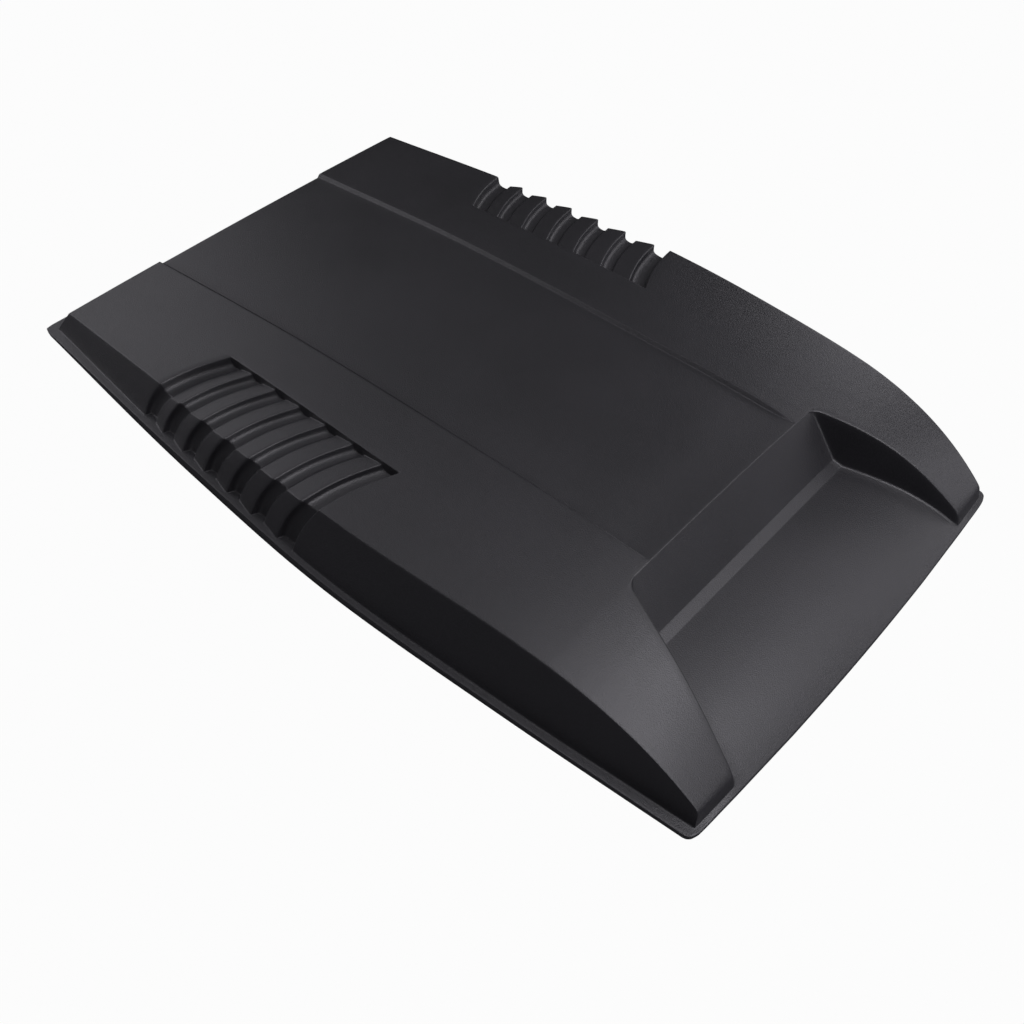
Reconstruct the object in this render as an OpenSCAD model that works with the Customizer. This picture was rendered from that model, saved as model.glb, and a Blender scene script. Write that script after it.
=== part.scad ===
// Bonnet scoop: one thin moulded shell with a turned-down rim, two raised side pods with
// louvre banks, a sunk centre panel and a closed mouth at the front.
// Millimetres. X runs across, the mouth faces -Y, Z is up.
// The origin is the middle of the flat underside of the rim.

/* [Outline] */
// Overall length
length = 900; // [760:10:1040]
// Half width at the front corners
front_half = 238; // [200:1:280]
// Half width of the rim at the nose
nose_half = 260.8; // [220:0.5:300]
// Half width of the rim ahead of the middle
fore_half = 278.3; // [230:0.5:320]
// Half width of the rim behind the middle
aft_half = 277.3; // [230:0.5:320]
// Half width at the rear corners
rear_half = 261.5; // [210:1:300]
// How far the front edge bows out at its middle
front_bow = 8; // [0:0.5:20]
// Plan radius of the four rim corners
corner_r = 6; // [2:0.5:8]
// Position along Y where the nose widths are given
nose_y = -250; // [-280:5:-220]
// Position along Y of the front pair of middle widths
fore_y = -50; // [-90:5:0]
// Position along Y of the rear pair of middle widths
aft_y = 150; // [110:5:200]

/* [Shell and rim] */
// Thickness of the moulding
wall_t = 3; // [2:0.1:4]
// Height of the rim at the front edge
rim_front_h = 5; // [4:0.2:7]
// Height of the rim at the nose
rim_nose_h = 8; // [4:0.5:12]
// Height of the rim ahead of the middle
rim_fore_h = 11; // [5:0.5:16]
// Height of the rim behind the middle
rim_aft_h = 16; // [6:0.5:20]
// Height of the rim at the rear edge
rim_rear_h = 4; // [4:0.2:7]
// Width of the flange outside the pods at the front
flange_front_w = 10.5; // [7:0.5:16]
// Width of the flange at the sides
flange_side_w = 6; // [5:0.5:12]
// Width of the flange beside the rear corners
flange_rear_w = 11; // [7:0.5:16]
// Depth of the flange behind the rear wall
flange_back_d = 13; // [8:0.5:20]

/* [Side pods] */
// Height of the pod crease at the rear
crease_rear_h = 28.5; // [22:0.5:40]
// Height of the pod crease behind the middle
crease_aft_h = 63.5; // [50:0.5:75]
// Height of the pod crease ahead of the middle
crease_fore_h = 77; // [65:0.5:90]
// Height of the pod crease at the nose before it drops
crease_nose_h = 85.5; // [75:0.5:100]
// Half width of the crease at the front
crease_front_half = 224; // [190:0.5:230]
// Half width of the crease at the nose
crease_nose_half = 238; // [200:0.5:246]
// Half width of the crease ahead of the middle
crease_fore_half = 252; // [215:0.5:262]
// Half width of the crease behind the middle
crease_aft_half = 248; // [215:0.5:262]
// Half width of the crease at the rear
crease_rear_half = 239; // [200:0.5:246]
// Rise of the deck from the crease to the middle, at the rear
crown_rear = 2.5; // [0:0.5:5]
// Rise of the deck from the crease to the middle, behind the middle
crown_aft = 7.5; // [3:0.5:14]
// Rise of the deck from the crease to the middle, ahead of the middle
crown_fore = 10; // [4:0.5:18]
// Rise of the deck from the crease to the middle, at the nose
crown_nose = 13.5; // [5:0.5:20]
// Distance behind the front edge where the nose starts to drop
nose_len = 266; // [230:1:290]
// Height lost by the crease down to the toe
nose_drop = 67; // [50:0.5:70]
// Distance of the toe face behind the front edge
toe_in = 9; // [7:0.5:14]
// Run of the toe face from top to foot
toe_run = 4; // [2:0.5:5]
// Blend width of the rounded toe
toe_blend = 14; // [4:1:20]
// Run of the rear wall from top to foot
back_run = 20; // [12:1:40]

/* [Centre panel] */
// Half width of the sunk panel beside the mouth
panel_front_half = 109; // [90:0.5:120]
// Half width of the sunk panel at the rear
panel_rear_half = 120; // [90:0.5:130]
// Depth of the sunk panel
panel_depth = 4; // [1:0.5:8]
// Width of the step face round the panel
step_run = 2.6; // [1.5:0.1:6]
// Distance over which the step fades out before the mouth
step_fade = 26; // [10:1:60]

/* [Mouth] */
// Distance of the back wall's top edge behind the front edge
mouth_len = 165; // [140:1:185]
// Half width of the mouth at its back wall
mouth_back_half = 136; // [125:0.5:150]
// Half width of the mouth between the toes
mouth_front_half = 183; // [165:0.5:195]
// Outward bow of the mouth's side edges
mouth_bow = 2.5; // [0:0.5:5]
// Plan radius of the two corners beside the back wall
mouth_corner_r = 8; // [4:0.5:14]
// Run of the raked back wall
mouth_rake_run = 33; // [15:1:45]
// Height of the mouth's floor at the back wall
floor_rear_h = 38; // [28:0.5:50]
// Height that the floor loses evenly towards the front
floor_fall = 5; // [0:0.5:12]
// Inward lean of the mouth's side walls for each millimetre of height
mouth_draft = 0.1; // [0.05:0.01:0.3]

/* [Louvres] */
// Number of grooves in each bank
groove_count = 7; // [3:1:8]
// Position along Y of the rearmost groove's edge, at the crease
groove_rear_y = 227; // [200:1:240]
// Pitch between the first two grooves
groove_pitch = 37.4; // [34:0.2:39]
// Growth of the pitch from one groove to the next
pitch_growth = 0.6; // [0:0.1:1]
// Length of a groove from its edge to the next slat
groove_len = 16.4; // [13:0.2:19]
// Length of the frontmost groove
last_groove_len = 20.5; // [17:0.5:24]
// Depth of a groove's bottom
groove_depth = 8.5; // [6:0.5:13]
// Depth of a slat's rear edge
slat_sink = 5.5; // [2:0.5:8]
// Run of the steep drop in front of a slat
groove_drop_run = 1.8; // [1:0.1:3]
// Half width to the inner ends of the grooves
louvre_in_half = 177; // [165:0.5:190]
// Run of the side face at the inner ends
louvre_side_run = 3.5; // [2:0.5:6]
// Forward sweep of the grooves from the crease to their inner ends
sweep_deck = 25; // [0:1:35]
// Bow of the swept grooves on the deck
bow_deck = 4.8; // [0:0.2:8]
// Rearward sweep down the outer wall for each millimetre of height
sweep_wall = 0.41; // [0:0.01:0.6]
// Bow of the grooves on the outer wall
bow_wall = 5; // [0:0.5:8]

/* [Hidden] */
front_y = -length / 2;
rear_y = length / 2;
nose_start_y = front_y + nose_len;
toe_y = front_y + toe_in;
toe_foot_y = toe_y - toe_run;
back_foot_y = rear_y - flange_back_d;
back_top_y = back_foot_y - back_run;
mouth_y = front_y + mouth_len;
floor_y = mouth_y - mouth_rake_run;
// Blend widths of the rounded edges along the mouth's profile
lip_blend = 2.5;
foot_blend = 12;

function mix(a, b, t) = a + (b - a) * t;
function clamp(v) = min(1, max(0, v));
function ease(v) = let (t = clamp(v)) t * t * (3 - 2 * t);
function unit(v) = norm(v) > 1e-9 ? v / norm(v) : [0, 0, 0];
function sum(list, i = 0) = i >= len(list) ? [0, 0, 0] : list[i] + sum(list, i + 1);

// The lower of two heights, with a rounded meeting of the given width
function low(a, b, w) = let (h = clamp(0.5 + 0.5 * (b - a) / w)) mix(b, a, h) - w * h * (1 - h);
function high(a, b, w) = -low(-a, -b, w);

// A smooth curve through stations [y, value], listed from front to rear
function gap(s, i) = s[i + 1][0] - s[i][0];
function rate(s, i) = (s[i + 1][1] - s[i][1]) / gap(s, i);
function bend(s, i) =
    i == 0 ? rate(s, 0)
    : i == len(s) - 1 ? rate(s, i - 1)
    : (rate(s, i - 1) * gap(s, i) + rate(s, i) * gap(s, i - 1)) / (gap(s, i - 1) + gap(s, i));
function span(s, y, i = 0) = i >= len(s) - 2 || y < s[i + 1][0] ? i : span(s, y, i + 1);
function along(s, y) =
    let (i = span(s, y), h = gap(s, i), t = clamp((y - s[i][0]) / h))
    (1 + 2 * t) * (1 - t) * (1 - t) * s[i][1] + t * (1 - t) * (1 - t) * h * bend(s, i)
    + t * t * (3 - 2 * t) * s[i + 1][1] - t * t * (1 - t) * h * bend(s, i + 1);

outline_line = [[front_y, front_half], [nose_y, nose_half], [fore_y, fore_half],
    [aft_y, aft_half], [rear_y, rear_half]];
rim_line = [[front_y, rim_front_h], [nose_y, rim_nose_h], [fore_y, rim_fore_h],
    [aft_y, rim_aft_h], [rear_y, rim_rear_h]];
flange_line = [[front_y, flange_front_w], [nose_y, mix(flange_front_w, flange_side_w, 0.7)],
    [fore_y, flange_side_w], [aft_y, flange_side_w], [rear_y, flange_rear_w]];
crease_line = [[front_y, crease_front_half], [nose_y, crease_nose_half],
    [fore_y, crease_fore_half], [aft_y, crease_aft_half], [rear_y, crease_rear_half]];
height_line = [[front_y, crease_nose_h], [nose_y, crease_nose_h], [fore_y, crease_fore_h],
    [aft_y, crease_aft_h], [rear_y, crease_rear_h]];
crown_line = [[front_y, crown_nose], [nose_y, crown_nose], [fore_y, crown_fore],
    [aft_y, crown_aft], [rear_y, crown_rear]];

function rim_x(y) = along(outline_line, y);
function rim_z(y) = along(rim_line, y);
function foot_x(y) = rim_x(y) - along(flange_line, y);
function crease_x(y) = along(crease_line, y);
function crease_z(y) =
    along(height_line, y) - nose_drop * pow(max(0, nose_start_y - y) / (nose_start_y - toe_y), 3.5);
function crown_z(x, y) =
    crease_z(y) + along(crown_line, y) * (1 - pow(min(1, x / crease_x(y)), 2));
// The deck rounds over into the steep face of the toe
toe_slope = (crease_nose_h - nose_drop - rim_front_h) / toe_run;
function deck_z(x, y) =
    y > toe_y + 30 ? crown_z(x, y)
    : low(crown_z(x, y), rim_front_h + toe_slope * (y - toe_foot_y), toe_blend);
function step_x(y) = mix(panel_front_half, panel_rear_half, (y - mouth_y) / (back_top_y - mouth_y));
function panel_z(x, y) = deck_z(x, y) - panel_depth * ease((y - mouth_y) / step_fade);

// Mouth: plan edge, and the profile from the panel over the lip down to the front edge
function mouth_side(y) =
    let (t = clamp((mouth_y - y) / (mouth_y - toe_foot_y)))
    mix(mouth_back_half, mouth_front_half, t) + 4 * mouth_bow * t * (1 - t);
function mouth_x(y) =
    let (d = max(0, mouth_corner_r - max(0, mouth_y - y)))
    mouth_side(y) - (mouth_corner_r - sqrt(max(0, pow(mouth_corner_r, 2) - pow(d, 2))));
function floor_z(y) =
    let (t = clamp((floor_y - y) / (floor_y - front_y)))
    floor_rear_h - floor_fall * t - (floor_rear_h - floor_fall - rim_front_h) * pow(t, 3);
function rake_z(x, y) =
    deck_z(x, mouth_y) - (deck_z(x, mouth_y) - floor_rear_h) * (mouth_y - y) / mouth_rake_run;
function inner_z(x, y) =
    y > mouth_y + lip_blend ? panel_z(x, y)
    : y < floor_y - foot_blend ? floor_z(y)
    : low(panel_z(x, y), high(rake_z(x, y), floor_z(y), foot_blend), lip_blend);

// Louvre depth along one bank, as stops [y at the crease, depth]
function groove_y(k) = groove_rear_y - groove_pitch * k - pitch_growth * k * (k - 1) / 2;
function groove_stops(k) =
    let (
        y = groove_y(k),
        last = k == groove_count - 1,
        size = last ? last_groove_len : groove_len
    )
    [
        [y, 0],
        [y - groove_drop_run, groove_depth * 0.8],
        [y - groove_drop_run - groove_depth * 0.25, groove_depth],
        [y - mix(groove_drop_run, size, 0.65), groove_depth * 0.9],
        [y - size, last ? 0 : slat_sink]
    ];
louvre_front_y = groove_y(groove_count - 1) - last_groove_len;
function louvre_zone(y) =
    y > groove_rear_y ? ease((back_top_y - y) / (back_top_y - groove_rear_y))
    : y < louvre_front_y ? ease((y - nose_y) / (louvre_front_y - nose_y))
    : 1;

// Rows from rear to front: [y, louvre depth, share of the body's height]
rows = concat(
    [[rear_y, 0, 0], [back_foot_y, 0, 0], [mix(back_foot_y, back_top_y, 0.5), 0, 0.52],
        [mix(back_foot_y, back_top_y, 0.92), 0, 0.95], [back_top_y - 2.5, 0, 1]],
    [for (i = [1:4]) [mix(back_top_y - 2.5, groove_rear_y, i / 4.4), 0, 1]],
    [for (k = [0:groove_count - 1]) for (s = groove_stops(k)) [s[0], s[1], 1]],
    [for (i = [1:5]) [mix(louvre_front_y, nose_start_y, i / 5), 0, 1]],
    [for (i = [1:3]) [mix(nose_start_y, mouth_y + lip_blend, i / 3), 0, 1]],
    [for (d = [0, 3, 7]) [mouth_y - d, 0, 1]],
    [for (i = [1:3]) [mix(mouth_y - 7, floor_y, i / 3), 0, 1]],
    [for (i = [0.35, 1]) [floor_y - foot_blend * i * 0.6, 0, 1]],
    [for (i = [1:8]) [mix(floor_y - foot_blend * 0.6, toe_y + 5, 1 - pow(1 - i / 8, 1.25)), 0, 1]],
    [for (d = [2.2, 0, -1.8]) [toe_y + d, 0, 1]],
    [[toe_foot_y, 0, 0], [front_y, 0, 0]]
);

// Columns from the rim to the middle: [kind, share]
columns = concat(
    [["rim", 0], ["foot", 0]],
    [for (s = [0.33, 0.66, 0.97]) ["wall", s]],
    [for (s = [0.012, 0.14, 0.27, 0.40]) ["deck", s]],
    [["pocket", 0], ["ledge", 0], ["mouth edge", 0], ["mouth foot", 0], ["step", 0],
        ["step foot", 0], ["panel", 0.5], ["panel", 0]]
);
half_cols = len(columns);
all_cols = 2 * half_cols - 1;

// Shares of the deck's width at the inner ends of the louvres
louvre_mid_y = mix(groove_rear_y, louvre_front_y, 0.5);
function deck_share(x) =
    (crease_x(louvre_mid_y) - x) / (crease_x(louvre_mid_y) - step_x(louvre_mid_y));
ledge_share = deck_share(louvre_in_half);
pocket_share = deck_share(louvre_in_half + louvre_side_run);

// Plan position of a column in a row
function column_x(kind, share, y, depth, height) =
    let (
        foot = foot_x(y) - 1.06 * depth,
        full = crease_z(y) - rim_z(y),
        lean = (foot_x(y) - crease_x(y)) / full,
        crease = foot_x(y) - (foot_x(y) - crease_x(y)) * height - (1.06 - lean) * depth,
        inner = y > mouth_y ? mix(step_x(y), mouth_x(y), 1 - ease((y - mouth_y) / 60))
            : mouth_x(y)
    )
    kind == "rim" ? rim_x(y)
    : kind == "foot" ? foot
    : kind == "wall" ? mix(foot, crease, share)
    : kind == "deck" ? mix(crease, inner, share)
    : kind == "pocket" ? mix(crease_x(y), inner, pocket_share)
    : kind == "ledge" ? mix(crease_x(y), inner, ledge_share)
    : kind == "mouth edge" ? (y > mouth_y ? mix(mouth_x(mouth_y), step_x(y) + 22, ease((y - mouth_y) / 60)) : mouth_x(y))
    : kind == "mouth foot" ? column_x("mouth edge", 0, y, 0, height)
        - (y > mouth_y ? 1.2 : 1.2 * height + mouth_draft * height * (deck_z(mouth_x(y), y) - inner_z(0, y)))
    : kind == "step" ? step_x(y)
    : kind == "step foot" ? step_x(y) - step_run
    : (step_x(y) - step_run) * share;

// Fore and aft shift of a column where the louvres are swept and the front is bowed
function column_shift(kind, share, y) =
    let (
        x = column_x(kind, share, y, 0, 1),
        s = clamp((crease_x(y) - x) / (crease_x(y) - louvre_in_half)),
        v = kind == "wall" ? 1 - share : kind == "foot" || kind == "rim" ? 1 : 0,
        deck = -sweep_deck * s + 4 * bow_deck * s * (1 - s),
        wall = sweep_wall * (crease_z(y) - rim_z(y)) * v + 4 * bow_wall * v * (1 - v)
    )
    louvre_zone(y) * (v > 0 ? wall : deck)
    + ease((floor_y - y) / (floor_y - toe_y)) * front_bow * pow(x / front_half, 2);

// One point of the outer skin, on the positive side
function skin_point(row, col) =
    let (
        kind = col[0],
        share = col[1],
        height = row[2],
        y = row[0] + column_shift(kind, share, row[0]),
        open = kind == "ledge" || kind == "mouth edge" || kind == "step" || kind == "step foot"
            || kind == "panel" || kind == "mouth foot" ? 0 : 1,
        depth = row[1] * open,
        x = column_x(kind, share, y, depth, height),
        sunk = row[0] < mouth_y + lip_blend
            && (kind == "mouth foot" || kind == "step" || kind == "step foot" || kind == "panel"),
        ground = row[0] > 0 ? rim_z(y)
            : mix(rim_z(y), floor_z(row[0]), clamp((foot_x(y) - x) / (foot_x(y) - mouth_x(y)))),
        top = sunk ? inner_z(x, row[0])
            : kind == "step foot" || kind == "panel" ? panel_z(x, y) - depth
            : deck_z(x, y) - depth
    )
    kind == "rim" || kind == "foot" ? [x, y, rim_z(y)]
    : kind == "wall" ? [x, y, mix(rim_z(y), crease_z(y) - depth, share * height)]
    : sunk ? [x, y, top]
    : [x, y, mix(ground, top, height)];

function mirrored(p, side) = [side * p[0], p[1], p[2]];
function column_of(c) = c < half_cols ? c : all_cols - 1 - c;
function side_of(c) = c < half_cols ? -1 : 1;
skin = [for (r = [0:len(rows) - 1]) [for (c = [0:all_cols - 1])
    mirrored(skin_point(rows[r], columns[column_of(c)]), side_of(c))]];

// Normals of the cells round a point give the direction of the inner skin
function cell_normal(r, c) =
    unit(cross(skin[r + 1][c + 1] - skin[r][c], skin[r][c + 1] - skin[r + 1][c]));
function inner_point(r, c) =
    let (
        cells = [for (i = [r - 1, r]) for (j = [c - 1, c]) cell_normal(i, j)],
        n = unit(sum(cells)),
        fit = max([for (m = cells) norm(m) > 0 ? 1 - n * m : 0])
    )
    skin[r][c] - n * wall_t / max(0.72, 1 - fit * 0.8);

last_row = len(rows) - 1;
last_col = all_cols - 1;
function on_edge(r, c) = r == 0 || r == last_row || c == 0 || c == last_col;
function inset(p, r, c) =
    [p[0] - sign(p[0]) * (c == 0 || c == last_col ? wall_t : 0),
        p[1] + (r == 0 ? -wall_t : r == last_row ? wall_t : 0), p[2]];
lining = [for (r = [0:last_row]) [for (c = [0:last_col])
    on_edge(r, c) ? inset(skin[r][c], r, c) - [0, 0, wall_t] : inner_point(r, c)]];

// Rows at the body's foot share one point for all the wall columns
first_deck = 5;
function pinched(r, c) =
    let (k = column_of(c))
    rows[r][2] == 0 && k >= 2 && k <= first_deck ? (c < half_cols ? 1 : last_col - 1)
    : rows[r][2] == 0 && rows[r][0] < 0 && columns[k][0] == "mouth foot"
        ? (c < half_cols ? c - 1 : c + 1)
    : c;
function spot(r, c) = r * all_cols + pinched(r, c);
sheet = len(rows) * all_cols;

// Rounded corners of the rim, each an arc between two neighbours of the corner
arc_steps = 4;
corners = [[0, last_col], [last_row, last_col], [last_row, 0], [0, 0]];
function inward(v, end) = v == 0 ? 1 : end - 1;
function arc_points(k, inner) =
    let (
        r = corners[k][0],
        c = corners[k][1],
        p = skin[r][c],
        beside = skin[r][inward(c, last_col)],
        along_side = skin[inward(r, last_row)][c],
        radius = min(corner_r, 0.85 * abs(p[0] - beside[0]), 0.85 * abs(p[1] - along_side[1])),
        middle = [p[0] - sign(p[0]) * radius, p[1] - sign(p[1]) * radius],
        size = inner ? max(0.5, radius - wall_t) : radius
    )
    [for (i = [0:arc_steps])
        let (a = k % 2 == 0 ? 90 * i / arc_steps : 90 - 90 * i / arc_steps)
        [middle[0] + sign(p[0]) * size * sin(a), middle[1] + sign(p[1]) * size * cos(a), p[2]]];
arcs_top = flat_list([for (k = [0:3]) arc_points(k, false)]);
arcs_under = [for (p = flat_list([for (k = [0:3]) arc_points(k, true)])) p - [0, 0, wall_t]];
arc_base = 2 * sheet;
arc_count = len(arcs_top);

// The edge of the rim, clockwise from above: point on the skin, point of the lining, index of each
function grid_stop(r, c) = [skin[r][c], lining[r][c], spot(r, c), spot(r, c) + sheet];
function arc_stops(k) = [for (i = [0:arc_steps]) let (n = k * (arc_steps + 1) + i)
    [arcs_top[n], arcs_under[n], arc_base + n, arc_base + arc_count + n]];
edge_loop = concat(
    [for (c = [1:last_col - 1]) if (pinched(0, c) == c) grid_stop(0, c)],
    arc_stops(0),
    [for (r = [1:last_row - 1]) grid_stop(r, last_col)],
    arc_stops(1),
    [for (c = [last_col - 1:-1:1]) if (pinched(last_row, c) == c) grid_stop(last_row, c)],
    arc_stops(2),
    [for (r = [last_row - 1:-1:1]) grid_stop(r, 0)],
    arc_stops(3)
);
loop_size = len(edge_loop);
rim_outer = [for (e = edge_loop) [e[0][0], e[0][1], 0]];
rim_inner = [for (e = edge_loop) [e[1][0], e[1][1], 0]];

function two(a, b, c, d) = [
    for (t = [[a, b, c], [a, c, d]]) if (t[0] != t[1] && t[1] != t[2] && t[0] != t[2]) t];
function flat_list(list) = [for (a = list) for (b = a) b];
function at_corner(r, c) = (r == 0 || r == last_row - 1) && (c == 0 || c == last_col - 1);
sheet_faces = flat_list([for (r = [0:last_row - 1]) for (c = [0:last_col - 1]) if (!at_corner(r, c))
    two(spot(r, c), spot(r, c + 1), spot(r + 1, c + 1), spot(r + 1, c))]);
function fan(k) =
    let (
        r = corners[k][0],
        c = corners[k][1],
        side_stop = spot(inward(r, last_row), c),
        end_stop = spot(r, inward(c, last_col)),
        arc = [for (i = [0:arc_steps]) arc_base + k * (arc_steps + 1) + i],
        chain = k % 2 == 0 ? concat([end_stop], arc, [side_stop]) : concat([side_stop], arc, [end_stop]),
        hub = spot(inward(r, last_row), inward(c, last_col))
    )
    [for (i = [0:len(chain) - 2]) [hub, chain[i], chain[i + 1]]];
top_faces = concat(sheet_faces, flat_list([for (k = [0:3]) fan(k)]));
function under(i) = i < sheet ? i + sheet : i + arc_count;
under_faces = [for (f = top_faces) [under(f[2]), under(f[1]), under(f[0])]];
bottom_base = 2 * sheet + 2 * arc_count;
rim_faces = flat_list([for (i = [0:loop_size - 1])
    let (
        j = (i + 1) % loop_size,
        a = bottom_base,
        b = a + loop_size,
        e = edge_loop[i],
        g = edge_loop[j]
    )
    concat(
        two(e[2], a + i, a + j, g[2]),
        two(a + i, b + i, b + j, a + j),
        two(b + i, e[3], g[3], b + j)
    )]);

module bonnet_scoop() {
    color([0.13, 0.13, 0.14])
    polyhedron(
        points = concat(flat_list(skin), flat_list(lining), arcs_top, arcs_under, rim_outer, rim_inner),
        faces = concat(top_faces, under_faces, rim_faces),
        convexity = 10
    );
}

bonnet_scoop();
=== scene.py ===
import math

import bmesh
import bpy
import numpy as np
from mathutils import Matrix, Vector


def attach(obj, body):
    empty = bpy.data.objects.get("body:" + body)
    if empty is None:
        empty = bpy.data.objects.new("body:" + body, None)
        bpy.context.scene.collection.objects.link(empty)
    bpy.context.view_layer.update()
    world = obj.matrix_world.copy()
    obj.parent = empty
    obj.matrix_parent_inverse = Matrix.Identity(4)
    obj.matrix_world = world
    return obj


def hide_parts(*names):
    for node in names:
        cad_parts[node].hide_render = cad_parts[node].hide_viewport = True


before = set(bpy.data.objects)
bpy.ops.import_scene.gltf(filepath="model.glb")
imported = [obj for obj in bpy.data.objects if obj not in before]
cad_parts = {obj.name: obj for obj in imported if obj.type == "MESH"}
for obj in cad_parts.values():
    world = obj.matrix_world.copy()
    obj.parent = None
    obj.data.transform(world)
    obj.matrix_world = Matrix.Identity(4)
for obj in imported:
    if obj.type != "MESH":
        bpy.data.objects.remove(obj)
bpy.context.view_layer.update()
mm = 0.001


# small helpers

def clearSelection():
    for thing in bpy.context.selected_objects:
        thing.select_set(False)


def makeActive(thing):
    clearSelection()
    thing.select_set(True)
    bpy.context.view_layer.objects.active = thing


def bakeModifiers(thing):
    makeActive(thing)
    for modifier in list(thing.modifiers):
        bpy.ops.object.modifier_apply(modifier=modifier.name)


def mix(a, b, t):
    return a + (b - a) * t


def clamp(v):
    return min(1.0, max(0.0, v))


def ease(v):
    t = clamp(v)
    return t * t * (3 - 2 * t)


def lower(a, b, width):  # the lower of two heights, with a rounded meeting
    h = clamp(0.5 + 0.5 * (b - a) / width)
    return mix(b, a, h) - width * h * (1 - h)


def along(stations, y):  # smooth curve through [place, value] pairs, front to rear
    gaps = [q[0] - p[0] for p, q in zip(stations, stations[1:])]
    rates = [(q[1] - p[1]) / g for p, q, g in zip(stations, stations[1:], gaps)]
    bends = [rates[0]]
    for i in range(1, len(rates)):
        bends.append((rates[i - 1] * gaps[i] + rates[i] * gaps[i - 1]) / (gaps[i - 1] + gaps[i]))
    bends.append(rates[-1])
    i = 0
    while i < len(gaps) - 1 and y >= stations[i + 1][0]:
        i += 1
    h = gaps[i]
    t = clamp((y - stations[i][0]) / h)
    return ((1 + 2 * t) * (1 - t) ** 2 * stations[i][1] + t * (1 - t) ** 2 * h * bends[i]
            + t * t * (3 - 2 * t) * stations[i + 1][1] - t * t * (1 - t) * h * bends[i + 1])


# scoop shell: all sizes in millimetres, as in the part's own source
scoop = {
    "length": 900, "frontBow": 8, "cornerRadius": 6,
    "noseY": -250, "foreY": -50, "aftY": 150,
    "rimHalf": [238, 260.8, 278.3, 277.3, 261.5],
    "rimHeight": [5, 8, 11, 16, 4],
    "flangeWidth": [10.5, 7.35, 6, 6, 11],
    "creaseHalf": [224, 238, 252, 248, 239],
    "creaseHeight": [85.5, 85.5, 77, 63.5, 28.5],
    "crown": [13.5, 13.5, 10, 7.5, 2.5],
    "wall": 3,
    "flangeBack": 13, "backRun": 20,
    "noseLength": 266, "noseDrop": 67, "noseCurve": 3.5,
    "toeIn": 9, "toeRun": 4, "toeBlend": 24, "toeReach": 50, "toeCrownFade": 90, "toeCrownLoss": 0.8,
    "panelFrontHalf": 109, "panelRearHalf": 120, "panelDepth": 4, "stepRun": 2.6, "stepFade": 14,
    "mouthLength": 165, "mouthBackHalf": 136, "mouthFrontHalf": 183, "mouthBow": 2.5,
    "mouthCorner": 8, "mouthRake": 36, "mouthDraft": 0.1, "mouthInset": 1.2,
    "floorHeight": 38, "floorFall": 5, "floorCurve": 3,
    "bevelUp": 3.1, "bevelOut": 6.5,  # the flat strip at the foot of the back wall
    "deckBlend": 60, "deckSpread": 22,  # how the lines beside the mouth run on over the deck
    "grooves": 7, "grooveRear": 227, "groovePitch": 37.4, "pitchGrowth": 0.6,
    "firstGroove": 19, "grooveLength": 16.6, "lastGroove": 23,
    "grooveDepth": 11.5, "slatSink": 7.8, "noseSink": 3.4,
    "grooveRecess": 7.5, "slatRecess": 2.8,  # how far grooves and slats cut into the outer wall
    "slatEdge": [(-0.8, 1.06, 0, -0.8), (0.5, 1, 0.4, -0.6)],  # run, share of sink, added sink, recess
    # a groove from its rear edge forward: run, share of the depth, share of the recess
    "grooveFall": [(1.3, 0.22, 0.15), (2.4, 0.6, 0.55), (4.4, 0.92, 0.85)],
    "grooveFlat": (0.5, 0.98, 0.96), "grooveFoot": 1.5,
    "louvreInner": 177, "louvreSide": 1.2,
    "sweepDeck": 25, "bowDeck": 4.8, "sweepWall": 0.41, "bowWall": 5,
    "supportShare": 0.42,  # a support loop's farthest place on the way to the next line
    "sharpGain": 0.8, "sharpLimit": 0.72,  # the lining's larger step at sharp edges keeps the wall even
    "rimSupport": 1.2, "mergeDistance": 0.03, "flatHeight": 0.01,
}
s = scoop
frontY, rearY = -s["length"] / 2, s["length"] / 2
noseStartY = frontY + s["noseLength"]
toeY = frontY + s["toeIn"]
toeFootY = toeY - s["toeRun"]
backFootY = rearY - s["flangeBack"]
backTopY = backFootY - s["backRun"]
mouthY = frontY + s["mouthLength"]
floorY = mouthY - s["mouthRake"]
bevelTopY, bevelFootY = floorY + s["bevelUp"], floorY - s["bevelOut"]
stationY = [frontY, s["noseY"], s["foreY"], s["aftY"], rearY]


def stations(name):
    return list(zip(stationY, s[name]))


rimLine, rimRise, flangeLine = stations("rimHalf"), stations("rimHeight"), stations("flangeWidth")
creaseLine, creaseRise, crownLine = stations("creaseHalf"), stations("creaseHeight"), stations("crown")


def rimX(y):
    return along(rimLine, y)


def rimZ(y):
    return along(rimRise, y)


def footX(y):
    return rimX(y) - along(flangeLine, y)


def creaseX(y):
    return along(creaseLine, y)


def creaseZ(y):
    fall = max(0.0, noseStartY - y) / (noseStartY - toeY)
    return along(creaseRise, y) - s["noseDrop"] * fall ** s["noseCurve"]


def crownZ(x, y):
    fade = 1 - s["toeCrownLoss"] * ease(1 - (y - toeY) / s["toeCrownFade"])
    return creaseZ(y) + along(crownLine, y) * fade * (1 - min(1.0, x / creaseX(y)) ** 2)


toeSlope = (s["creaseHeight"][0] - s["noseDrop"] - s["rimHeight"][0]) / s["toeRun"]


def deckZ(x, y):  # the deck rounds over into the short face of the toe
    if y > toeY + s["toeReach"]:
        return crownZ(x, y)
    return lower(crownZ(x, y), s["rimHeight"][0] + toeSlope * (y - toeFootY), s["toeBlend"])


def stepX(y):
    return mix(s["panelFrontHalf"], s["panelRearHalf"], (y - mouthY) / (backTopY - mouthY))


def panelZ(x, y):
    return deckZ(x, y) - s["panelDepth"] * ease((y - mouthY) / s["stepFade"])


def mouthSide(y):
    t = clamp((mouthY - y) / (mouthY - toeFootY))
    return mix(s["mouthBackHalf"], s["mouthFrontHalf"], t) + 4 * s["mouthBow"] * t * (1 - t)


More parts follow.
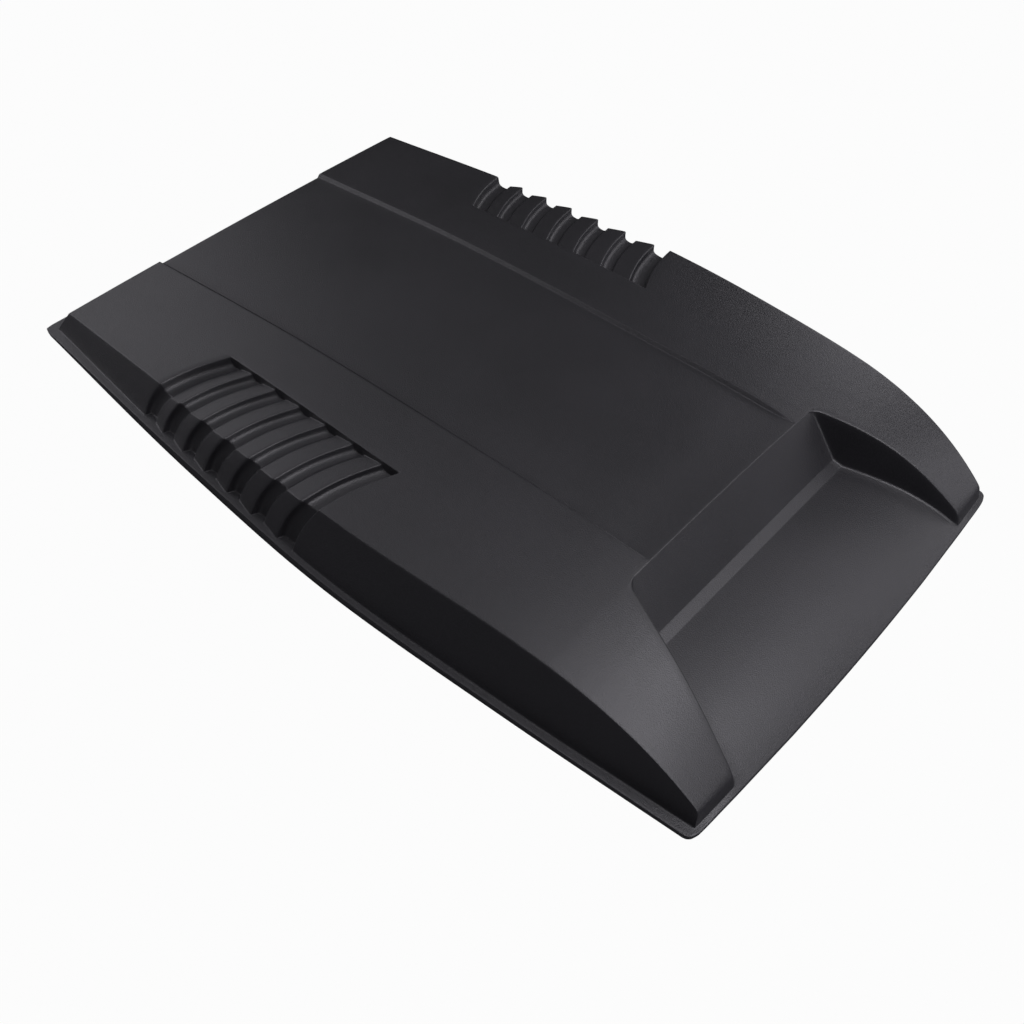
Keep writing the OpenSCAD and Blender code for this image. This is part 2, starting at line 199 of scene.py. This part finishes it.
def mouthX(y):
    r = s["mouthCorner"]
    d = max(0.0, r - max(0.0, mouthY - y))
    return mouthSide(y) - (r - math.sqrt(max(0.0, r * r - d * d)))


def floorZ(y):
    t = clamp((floorY - y) / (floorY - frontY))
    bend = s["floorHeight"] - s["floorFall"] - s["rimHeight"][0]
    return s["floorHeight"] - s["floorFall"] * t - bend * t ** s["floorCurve"]


def rakeZ(x, y):
    top = deckZ(x, mouthY)
    return top - (top - s["floorHeight"]) * (mouthY - y) / s["mouthRake"]


def innerZ(x, y):  # panel, back wall, the flat bevel at its foot, and the floor
    if y >= mouthY:
        return panelZ(x, y)
    if y >= bevelTopY:
        return rakeZ(x, y)
    if y > bevelFootY:
        share = (y - bevelFootY) / (bevelTopY - bevelFootY)
        return mix(floorZ(bevelFootY), rakeZ(x, bevelTopY), share)
    return floorZ(y)


def grooveY(k):
    return s["grooveRear"] - s["groovePitch"] * k - s["pitchGrowth"] * k * (k - 1) / 2


louvreFrontY = grooveY(s["grooves"] - 1) - s["lastGroove"]


def louvreZone(y):
    if y > s["grooveRear"]:
        return ease((backTopY - y) / (backTopY - s["grooveRear"]))
    if y < louvreFrontY:
        return ease((y - s["noseY"]) / (louvreFrontY - s["noseY"]))
    return 1.0


# lines of the cage across the scoop, from the rear to the front
def cageRow(y, sink=0.0, height=1.0, support=0.0, recess=0.0):  # height is a share of the body's height
    return {"y": y, "sink": sink, "height": height, "support": support, "recess": recess}


def grooveRows(k):
    y, depth, recess = grooveY(k), s["grooveDepth"], s["grooveRecess"]
    first, last = k == 0, k == s["grooves"] - 1
    size = s["lastGroove"] if last else s["firstGroove"] if first else s["grooveLength"]
    nose = 0 if first else s["noseSink"]
    found = []
    for run, share, more, swell in s["slatEdge"]:
        found.append(cageRow(y - run, sink=nose * share + more, recess=0 if first else swell))
    for run, fall, cut in s["grooveFall"]:
        found.append(cageRow(y - run, sink=mix(nose, depth, fall), recess=recess * cut))
    place, fall, cut = s["grooveFlat"]
    run = mix(s["grooveFall"][-1][0], size, place)
    found.append(cageRow(y - run, sink=mix(nose, depth, fall), recess=recess * cut))
    found.append(cageRow(y - size + s["grooveFoot"], sink=depth, recess=recess))
    if last:
        found.append(cageRow(y - size, support=0.9))
    else:
        found.append(cageRow(y - size, sink=s["slatSink"], support=0.8, recess=s["slatRecess"]))
    return found


rows = [
    cageRow(rearY, height=0, support=1.2), cageRow(backFootY, height=0, support=1.5),
    cageRow(mix(backFootY, backTopY, 0.5), height=0.52), cageRow(backTopY, support=2.2),
]
rows += [cageRow(mix(backTopY, s["grooveRear"], i / 5)) for i in range(1, 5)]
for k in range(s["grooves"]):
    rows += grooveRows(k)
rows += [cageRow(mix(louvreFrontY, noseStartY, i / 5)) for i in range(1, 6)]
rows += [cageRow(mix(noseStartY, mouthY, i / 4)) for i in range(1, 4)]
rows += [cageRow(mouthY, support=2)]
rows += [cageRow(mouthY - d) for d in (0.7, 2.2, 4.6, s["mouthCorner"])]
rows += [cageRow(mix(mouthY - s["mouthCorner"], bevelTopY, i / 3)) for i in (1, 2)]
rows += [cageRow(bevelTopY, support=0.8), cageRow(bevelFootY, support=0.8)]
rows += [cageRow(mix(bevelFootY, toeY + 5, 1 - (1 - i / 9) ** 1.25)) for i in range(1, 10)]
rows += [cageRow(toeY + d) for d in (2.2, 0, -1.8)]
rows += [cageRow(toeFootY, height=0, support=0.8), cageRow(frontY, height=0, support=1.2)]


# lines of the cage along the scoop, from the rim to the middle
def cageColumn(kind, share=0.0, support=0.0):
    return {"kind": kind, "share": share, "support": support}


columns = [
    cageColumn("rim", support=s["rimSupport"]), cageColumn("foot", support=1.4),
    cageColumn("wall", 0.33), cageColumn("wall", 0.66), cageColumn("crease", support=1.1),
    cageColumn("deck", 0.14), cageColumn("deck", 0.27), cageColumn("deck", 0.40),
    cageColumn("pocket", support=1.1), cageColumn("ledge", support=1.1),
    cageColumn("mouthEdge", support=2.2), cageColumn("mouthFoot", support=3.0),
    cageColumn("step", support=0.9), cageColumn("stepFoot", support=0.9),
    cageColumn("panel", 0.5), cageColumn("panel", 0),
]
kinds = [column["kind"] for column in columns]
louvreMidY = mix(s["grooveRear"], louvreFrontY, 0.5)


def deckShare(x):  # where a straight line over the deck lies between crease and step
    return (creaseX(louvreMidY) - x) / (creaseX(louvreMidY) - stepX(louvreMidY))


ledgeShare = deckShare(s["louvreInner"])
pocketShare = deckShare(s["louvreInner"] + s["louvreSide"])


def columnX(kind, share, y, depth, height, recess=0.0):
    foot = footX(y) - recess
    lean = (footX(y) - creaseX(y)) / (creaseZ(y) - rimZ(y))
    crease = footX(y) - (footX(y) - creaseX(y)) * height + lean * depth - recess
    blend = ease((y - mouthY) / s["deckBlend"])
    inner = mix(mouthX(y), stepX(y), blend) if y > mouthY else mouthX(y)
    if kind == "rim":
        return rimX(y)
    if kind == "foot":
        return foot
    if kind == "wall":
        return mix(foot, crease, share)
    if kind == "crease":
        return crease
    if kind == "deck":
        return mix(crease, inner, share)
    if kind == "pocket":
        return mix(creaseX(y), inner, pocketShare)
    if kind == "ledge":
        return mix(creaseX(y), inner, ledgeShare)
    if kind == "mouthEdge":
        return mix(mouthX(mouthY), stepX(y) + s["deckSpread"], blend) if y > mouthY else mouthX(y)
    if kind == "mouthFoot":
        edge = columnX("mouthEdge", 0, y, 0, height)
        if y > mouthY:
            return edge - s["mouthInset"]
        draft = s["mouthDraft"] * (deckZ(mouthX(y), y) - innerZ(0, y))
        return edge - s["mouthInset"] * height - draft * height
    if kind == "step":
        return stepX(y)
    if kind == "stepFoot":
        return stepX(y) - s["stepRun"]
    return (stepX(y) - s["stepRun"]) * share


def columnShift(kind, share, y):  # sweep of the louvres, and the bow of the front edge
    x = columnX(kind, share, y, 0, 1)
    inward = clamp((creaseX(y) - x) / (creaseX(y) - s["louvreInner"]))
    down = 1 - share if kind == "wall" else 1 if kind in ("foot", "rim") else 0
    deck = -s["sweepDeck"] * inward + 4 * s["bowDeck"] * inward * (1 - inward)
    wall = s["sweepWall"] * (creaseZ(y) - rimZ(y)) * down + 4 * s["bowWall"] * down * (1 - down)
    bow = ease((floorY - y) / (floorY - toeY)) * s["frontBow"] * (x / s["rimHalf"][0]) ** 2
    return louvreZone(y) * (wall if down > 0 else deck) + bow


def skinPoint(row, column):
    kind, share, height = column["kind"], column["share"], row["height"]
    y = row["y"] + columnShift(kind, share, row["y"])
    shut = kind in ("ledge", "mouthEdge", "mouthFoot", "step", "stepFoot", "panel")
    depth = 0 if shut else row["sink"]
    x = columnX(kind, share, y, depth, height, row["recess"])
    if kind in ("rim", "foot"):
        return (x, y, rimZ(y))
    if kind == "wall":
        return (x, y, mix(rimZ(y), creaseZ(y) - depth, share * height))
    if row["y"] < mouthY and kind in ("mouthFoot", "step", "stepFoot", "panel"):
        return (x, y, innerZ(x, row["y"]))
    ground = rimZ(y)
    if row["y"] < 0:
        inward = clamp((footX(y) - x) / (footX(y) - mouthX(y)))
        ground = mix(rimZ(y), floorZ(row["y"]), inward)
    top = panelZ(x, y) if kind in ("stepFoot", "panel") else deckZ(x, y) - depth
    return (x, y, mix(ground, top, height))


def meetingLines(row):  # at the body's foot some lines meet: (line, the line that it joins)
    if row["height"]:
        return []
    pairs = [(i, kinds.index("foot")) for i, kind in enumerate(kinds) if kind in ("wall", "crease")]
    if row["y"] < 0:
        pairs.append((kinds.index("mouthFoot"), kinds.index("mouthEdge")))
    return pairs


def wholeRow(row):
    half = [skinPoint(row, column) for column in columns]
    for i, onto in meetingLines(row):
        half[i] = half[onto]
    left = [(-x, y, z) for x, y, z in half]
    return left + half[-2::-1]


def unit(v):
    size = np.linalg.norm(v, axis=-1, keepdims=True)
    return np.where(size > 1e-9, v / np.maximum(size, 1e-9), 0)


def liningOf(skin):  # the skin moved inwards by the wall
    w = s["wall"]
    cell = unit(np.cross(skin[1:, 1:] - skin[:-1, :-1], skin[:-1, 1:] - skin[1:, :-1]))
    lining = skin.copy()
    corners = [cell[:-1, :-1], cell[:-1, 1:], cell[1:, :-1], cell[1:, 1:]]
    normal = unit(sum(corners))
    worst = np.zeros(normal.shape[:2])
    for c in corners:
        there = np.linalg.norm(c, axis=-1) > 0
        worst = np.maximum(worst, np.where(there, 1 - (normal * c).sum(-1), 0))
    lining[1:-1, 1:-1] -= normal * (w / np.maximum(s["sharpLimit"], 1 - worst * s["sharpGain"]))[..., None]
    lining[:, 0] += (w, 0, -w)
    lining[:, -1] += (-w, 0, -w)
    lining[0, 1:-1] += (0, 0, -w)
    lining[-1, 1:-1] += (0, 0, -w)
    lining[0, :, 1] -= w
    lining[-1, :, 1] += w
    last = skin.shape[1] - 1
    for r, row in enumerate(rows):
        for i, onto in meetingLines(row):
            lining[r, i] = lining[r, onto]
            lining[r, last - i] = lining[r, last - onto]
    return lining


def supportLine(line, other, distance):  # a line close to this one, on the side of the other
    step = other - line
    size = np.maximum(np.linalg.norm(step, axis=-1, keepdims=True), 1e-6)
    return line + step * np.minimum(s["supportShare"], distance / size)


def withSupports(grid, distances):  # extra lines close to each edge keep it crisp when subdivided
    lines = []
    for i, line in enumerate(grid):
        if distances[i] and i > 0:
            lines.append(supportLine(line, grid[i - 1], distances[i]))
        lines.append(line)
        if distances[i] and i < len(grid) - 1:
            lines.append(supportLine(line, grid[i + 1], distances[i]))
    return np.array(lines)


def roundCorners(shell):  # the four plan corners of the rim, a square corner drawn onto a disc
    radius = s["cornerRadius"] * mm
    reach, least = 1.2, 0.2  # keep the roots real for points a little past the corner
    for endY in (frontY, rearY):
        side = 1 if endY > 0 else -1
        half = rimX(endY) * mm
        end = (endY + (s["frontBow"] if endY < 0 else 0)) * mm
        for v in shell.data.vertices:
            a = (abs(v.co.x) - half) / radius + 1
            b = (v.co.y - end) * side / radius + 1
            if a > 0 and b > 0:
                a, b = min(a, reach), min(b, reach)
                across = a * math.sqrt(max(least, 1 - b * b / 2)) - 1
                out = b * math.sqrt(max(least, 1 - a * a / 2)) - 1
                v.co.x = math.copysign(half + across * radius, v.co.x)
                v.co.y = end + out * radius * side


def gridPiece(name, cage, firstPair):  # a grid primitive whose points are put on the cage
    rowCount, columnCount = cage.shape[:2]
    bpy.ops.mesh.primitive_grid_add(x_subdivisions=columnCount - 1, y_subdivisions=rowCount - 1, size=1)
    piece = bpy.context.object
    piece.name = name
    piece.location = (0, 0, 0)
    flat = np.array([v.co[:] for v in piece.data.vertices])
    order = np.lexsort((np.round(flat[:, 0], 5), -np.round(flat[:, 1], 5)))  # rear row first
    places = np.empty_like(flat)
    places[order] = cage.reshape(-1, 3) * mm
    piece.data.vertices.foreach_set("co", places.astype(np.float32).ravel())
    pair = piece.data.attributes.new("pair", "INT", "POINT")  # finds the same point of the other skin
    numbers = np.empty(len(flat), np.int32)
    numbers[order] = np.arange(len(flat)) + firstPair
    pair.data.foreach_set("value", numbers)
    piece.data.update()
    return piece


def selectBoundary(piece):
    work = bmesh.from_edit_mesh(piece.data)
    for face in work.faces:
        face.select = False
    for edge in work.edges:
        edge.select = edge.is_boundary
    bmesh.update_edit_mesh(piece.data)


def turnDownEdge(piece, drop):  # the rim: down a little for the support loop, then flat at the bottom
    makeActive(piece)
    bpy.ops.object.mode_set(mode="EDIT")
    bpy.ops.mesh.select_mode(type="EDGE")
    selectBoundary(piece)
    if drop:
        bpy.ops.mesh.extrude_region_move(TRANSFORM_OT_translate={"value": (0, 0, -drop)})
    bpy.ops.mesh.extrude_region_move(TRANSFORM_OT_translate={"value": (0, 0, -0.1 * mm)})
    bpy.ops.transform.resize(value=(1, 1, 0), center_override=(0, 0, 0))
    bpy.ops.object.mode_set(mode="OBJECT")


def closeBottom(shell, pairs):  # the flat ring under the rim, from the outer skin to the inner one
    work = bmesh.from_edit_mesh(shell.data)
    pair = work.verts.layers.int["pair"]
    openEdges = [edge for edge in work.edges if edge.is_boundary]
    innerPoint = {}
    for edge in openEdges:
        for v in edge.verts:
            if v[pair] >= pairs:
                innerPoint[v[pair] - pairs] = v
    for edge in openEdges:
        a, b = edge.verts
        if a[pair] < pairs and b[pair] < pairs:
            work.faces.new((a, b, innerPoint[b[pair]], innerPoint[a[pair]]))
    bmesh.update_edit_mesh(shell.data)


def isFlat(thing):
    return all(v.co.z < s["flatHeight"] * mm for v in thing.verts)


def keepBottomFlat(shell):  # full crease where the flat bottom of the rim meets a standing face
    work = bmesh.from_edit_mesh(shell.data)
    crease = work.edges.layers.float.get("crease_edge") or work.edges.layers.float.new("crease_edge")
    for edge in work.edges:
        flatFaces = [isFlat(face) for face in edge.link_faces]
        if isFlat(edge) and any(flatFaces) and not all(flatFaces):
            edge[crease] = 1.0
    bmesh.update_edit_mesh(shell.data)


def cageWithSupports(grid):
    half = [column["support"] for column in columns]
    grid = withSupports(grid, [row["support"] for row in rows])
    return withSupports(grid.transpose(1, 0, 2), half + half[-2::-1]).transpose(1, 0, 2).copy()


def makeShell():
    skin = np.array([wholeRow(row) for row in rows], float)
    outerCage = cageWithSupports(skin)
    innerCage = cageWithSupports(liningOf(skin))
    print("cage lines", outerCage.shape[:2])
    pairs = outerCage.shape[0] * outerCage.shape[1]
    outer = gridPiece("outerSkin", outerCage, 0)
    inner = gridPiece("innerSkin", innerCage, pairs)
    turnDownEdge(outer, s["rimSupport"] * mm)
    turnDownEdge(inner, 0)
    clearSelection()
    inner.select_set(True)
    outer.select_set(True)
    bpy.context.view_layer.objects.active = outer
    bpy.ops.object.join()
    shell = bpy.context.object
    shell.name = "scoopShell"
    shell.data.name = "scoopShell"
    bpy.ops.object.mode_set(mode="EDIT")
    bpy.ops.mesh.select_mode(type="EDGE")
    closeBottom(shell, pairs)
    bpy.ops.mesh.select_all(action="SELECT")
    bpy.ops.mesh.remove_doubles(threshold=s["mergeDistance"] * mm)
    bpy.ops.mesh.normals_make_consistent(inside=False)
    keepBottomFlat(shell)
    bpy.ops.object.mode_set(mode="OBJECT")
    roundCorners(shell)
    smoothing = shell.modifiers.new("roundEdges", "SUBSURF")
    smoothing.levels = 1
    smoothing.render_levels = 1
    bakeModifiers(shell)
    bpy.ops.object.shade_smooth()
    print("shell", len(shell.data.polygons), "faces")
    return shell


shell = makeShell()


# finishes
def mouldGrain():  # fine moulded grain and a faint cloudiness
    group = bpy.data.node_groups.new("mouldGrain", "ShaderNodeTree")
    for name, start in (("Grain Size", 900.0), ("Cloud Size", 14.0)):
        socket = group.interface.new_socket(name, in_out="INPUT", socket_type="NodeSocketFloat")
        socket.default_value = start
    group.interface.new_socket("Grain", in_out="OUTPUT", socket_type="NodeSocketFloat")
    group.interface.new_socket("Cloud", in_out="OUTPUT", socket_type="NodeSocketFloat")
    nodes, links = group.nodes, group.links
    start = nodes.new("NodeGroupInput")
    end = nodes.new("NodeGroupOutput")
    place = nodes.new("ShaderNodeTexCoord")
    grain = nodes.new("ShaderNodeTexNoise")
    grain.inputs["Detail"].default_value = 2.0
    grain.inputs["Roughness"].default_value = 0.6
    cloud = nodes.new("ShaderNodeTexNoise")
    cloud.inputs["Detail"].default_value = 3.0
    links.new(place.outputs["Object"], grain.inputs["Vector"])
    links.new(place.outputs["Object"], cloud.inputs["Vector"])
    links.new(start.outputs["Grain Size"], grain.inputs["Scale"])
    links.new(start.outputs["Cloud Size"], cloud.inputs["Scale"])
    links.new(grain.outputs["Fac"], end.inputs["Grain"])
    links.new(cloud.outputs["Fac"], end.inputs["Cloud"])
    return group


plastic = {
    "dark": (0.0060, 0.0060, 0.0070, 1), "light": (0.0105, 0.0100, 0.0120, 1),
    "roughLow": 0.35, "roughHigh": 0.41, "grainSize": 1000.0, "cloudSize": 9.0,
    "grainDepth": 0.0004, "grainStrength": 0.8, "specular": 0.5,
    "grainShare": 0.6, "cloudShare": 0.4, "tintFrom": 0.35, "tintTo": 0.65,
    "glossFrom": 0.3, "glossTo": 0.7,
}
grainGroup = mouldGrain()


def plasticMaterial(name, p):
    material = bpy.data.materials.new(name)
    material.use_nodes = True
    nodes, links = material.node_tree.nodes, material.node_tree.links
    shader = nodes["Principled BSDF"]
    shader.inputs["Specular IOR Level"].default_value = p["specular"]
    grain = nodes.new("ShaderNodeGroup")
    grain.node_tree = grainGroup
    grain.inputs["Grain Size"].default_value = p["grainSize"]
    grain.inputs["Cloud Size"].default_value = p["cloudSize"]
    tint = nodes.new("ShaderNodeValToRGB")
    tint.color_ramp.elements[0].position = p["tintFrom"]
    tint.color_ramp.elements[0].color = p["dark"]
    tint.color_ramp.elements[1].position = p["tintTo"]
    tint.color_ramp.elements[1].color = p["light"]
    blend = nodes.new("ShaderNodeMath")
    blend.operation = "MULTIPLY_ADD"
    blend.inputs[1].default_value = p["grainShare"]
    scaled = nodes.new("ShaderNodeMath")
    scaled.operation = "MULTIPLY"
    scaled.inputs[1].default_value = p["cloudShare"]
    links.new(grain.outputs["Cloud"], scaled.inputs[0])
    links.new(grain.outputs["Grain"], blend.inputs[0])
    links.new(scaled.outputs[0], blend.inputs[2])
    links.new(blend.outputs[0], tint.inputs["Fac"])
    links.new(tint.outputs["Color"], shader.inputs["Base Color"])
    gloss = nodes.new("ShaderNodeMapRange")
    gloss.inputs["From Min"].default_value = p["glossFrom"]
    gloss.inputs["From Max"].default_value = p["glossTo"]
    gloss.inputs["To Min"].default_value = p["roughLow"]
    gloss.inputs["To Max"].default_value = p["roughHigh"]
    links.new(grain.outputs["Cloud"], gloss.inputs["Value"])
    links.new(gloss.outputs["Result"], shader.inputs["Roughness"])
    bump = nodes.new("ShaderNodeBump")
    bump.inputs["Strength"].default_value = p["grainStrength"]
    bump.inputs["Distance"].default_value = p["grainDepth"]
    links.new(grain.outputs["Grain"], bump.inputs["Height"])
    links.new(bump.outputs["Normal"], shader.inputs["Normal"])
    return material


satinBlack = plasticMaterial("satinBlackPlastic", plastic)
shell.data.materials.clear()
shell.data.materials.append(satinBlack)
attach(shell, "root")
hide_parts("bonnet_scoop")
print("shell finished")


# stage, light and camera
stage = {
    "floorSize": 30, "floorColour": (0.10, 0.10, 0.105, 1), "floorRough": 0.9, "floorSpecular": 0.1,
    "cameraWhite": 0.97,  # the rest is the floor's own shade, which keeps the shadow
    "ambient": (0.98, 0.98, 1.0), "ambientLevel": 0.06,
}


def makeFloor():
    bpy.ops.mesh.primitive_plane_add(size=stage["floorSize"], location=(0, 0, 0))
    floor = bpy.context.object
    floor.name = "floor"
    material = bpy.data.materials.new("paleFloor")
    material.use_nodes = True
    nodes, links = material.node_tree.nodes, material.node_tree.links
    shader = nodes["Principled BSDF"]
    shader.inputs["Base Color"].default_value = stage["floorColour"]
    shader.inputs["Roughness"].default_value = stage["floorRough"]
    shader.inputs["Specular IOR Level"].default_value = stage["floorSpecular"]
    white = nodes.new("ShaderNodeEmission")
    white.inputs["Color"].default_value = (1, 1, 1, 1)
    white.inputs["Strength"].default_value = 1.0
    path = nodes.new("ShaderNodeLightPath")
    share = nodes.new("ShaderNodeMath")
    share.operation = "MULTIPLY"
    share.inputs[1].default_value = stage["cameraWhite"]
    joined = nodes.new("ShaderNodeMixShader")
    links.new(path.outputs["Is Camera Ray"], share.inputs[0])
    links.new(share.outputs[0], joined.inputs["Fac"])
    links.new(shader.outputs["BSDF"], joined.inputs[1])
    links.new(white.outputs["Emission"], joined.inputs[2])
    links.new(joined.outputs["Shader"], nodes["Material Output"].inputs["Surface"])
    floor.data.materials.append(material)
    return floor


def makeWorld():
    world = bpy.data.worlds.new("studio")
    bpy.context.scene.world = world
    world.use_nodes = True
    nodes, links = world.node_tree.nodes, world.node_tree.links
    nodes.clear()
    soft = nodes.new("ShaderNodeBackground")
    soft.inputs["Color"].default_value = (*stage["ambient"], 1)
    soft.inputs["Strength"].default_value = stage["ambientLevel"]
    white = nodes.new("ShaderNodeBackground")
    white.inputs["Color"].default_value = (1, 1, 1, 1)
    path = nodes.new("ShaderNodeLightPath")
    joined = nodes.new("ShaderNodeMixShader")
    out = nodes.new("ShaderNodeOutputWorld")
    links.new(path.outputs["Is Camera Ray"], joined.inputs["Fac"])
    links.new(soft.outputs["Background"], joined.inputs[1])
    links.new(white.outputs["Background"], joined.inputs[2])
    links.new(joined.outputs["Shader"], out.inputs["Surface"])


lamps = {
    "crownBox": {"place": (0.0, 0.0, 1.8), "size": (1.0, 1.0), "power": 3.9},
    "topBox": {"place": (0.0, -0.5, 1.7), "size": (0.7, 0.7), "power": 6.5},
    "frontTopBox": {"place": (0.0, -1.2, 1.35), "size": (0.7, 0.7), "power": 14.2},
    "rightTopBox": {"place": (0.95, 0.0, 1.5), "size": (1.0, 1.0), "power": 0.7},
    "rightFrontTopBox": {"place": (0.8, -0.8, 1.35), "size": (1.0, 1.0), "power": 4.0},
    "rearTopBox": {"place": (0.0, 0.9, 1.5), "size": (1.0, 1.0), "power": 2.2},
    "rightRearBox": {"place": (0.95, 0.95, 1.1), "size": (1.0, 1.0), "power": 0.7},
    "rightFrontBox": {"place": (1.3, -1.3, 0.55), "size": (1.0, 1.0), "power": 5.8},
    "rearBox": {"place": (0.1, 1.8, 0.75), "size": (1.0, 1.0), "power": 3.8},
    "leftRearBox": {"place": (-0.95, 1.6, 0.65), "size": (1.0, 1.0), "power": 7.0},
    "leftBox": {"place": (-1.8, 0.0, 0.65), "size": (1.0, 1.0), "power": 3.7},
    "frontBox": {"place": (0.0, -1.9, 0.55), "size": (1.0, 1.0), "power": 7.8},
    "rightBox": {"place": (1.9, 0.0, 0.6), "size": (1.0, 1.0), "power": 6.2},
}
lampAim = Vector((0, 0, 0.05))
lampColour = (0.955, 0.935, 1.0)


def makeLamps():
    for name, v in lamps.items():
        data = bpy.data.lights.new(name, "AREA")
        data.shape = "RECTANGLE"
        data.size, data.size_y = v["size"]
        data.energy = v["power"]
        data.color = lampColour
        lamp = bpy.data.objects.new(name, data)
        bpy.context.collection.objects.link(lamp)
        lamp.location = v["place"]
        lamp.rotation_euler = (lampAim - Vector(v["place"])).to_track_quat("-Z", "Y").to_euler()


view = {"sensor": 36, "place": (-0.56535, -0.55768, 0.80402), "turn": (38.893, 0, -46.825), "lens": 37.266}


def makeCamera():
    data = bpy.data.cameras.new("photoView")
    data.lens = view["lens"]
    data.sensor_width = view["sensor"]
    camera = bpy.data.objects.new("photoView", data)
    bpy.context.collection.objects.link(camera)
    camera.location = view["place"]
    camera.rotation_euler = [math.radians(a) for a in view["turn"]]
    bpy.context.scene.camera = camera


makeFloor()
makeWorld()
makeLamps()
makeCamera()
bpy.context.scene.view_settings.view_transform = "Standard"
print("stage, lamps and camera")
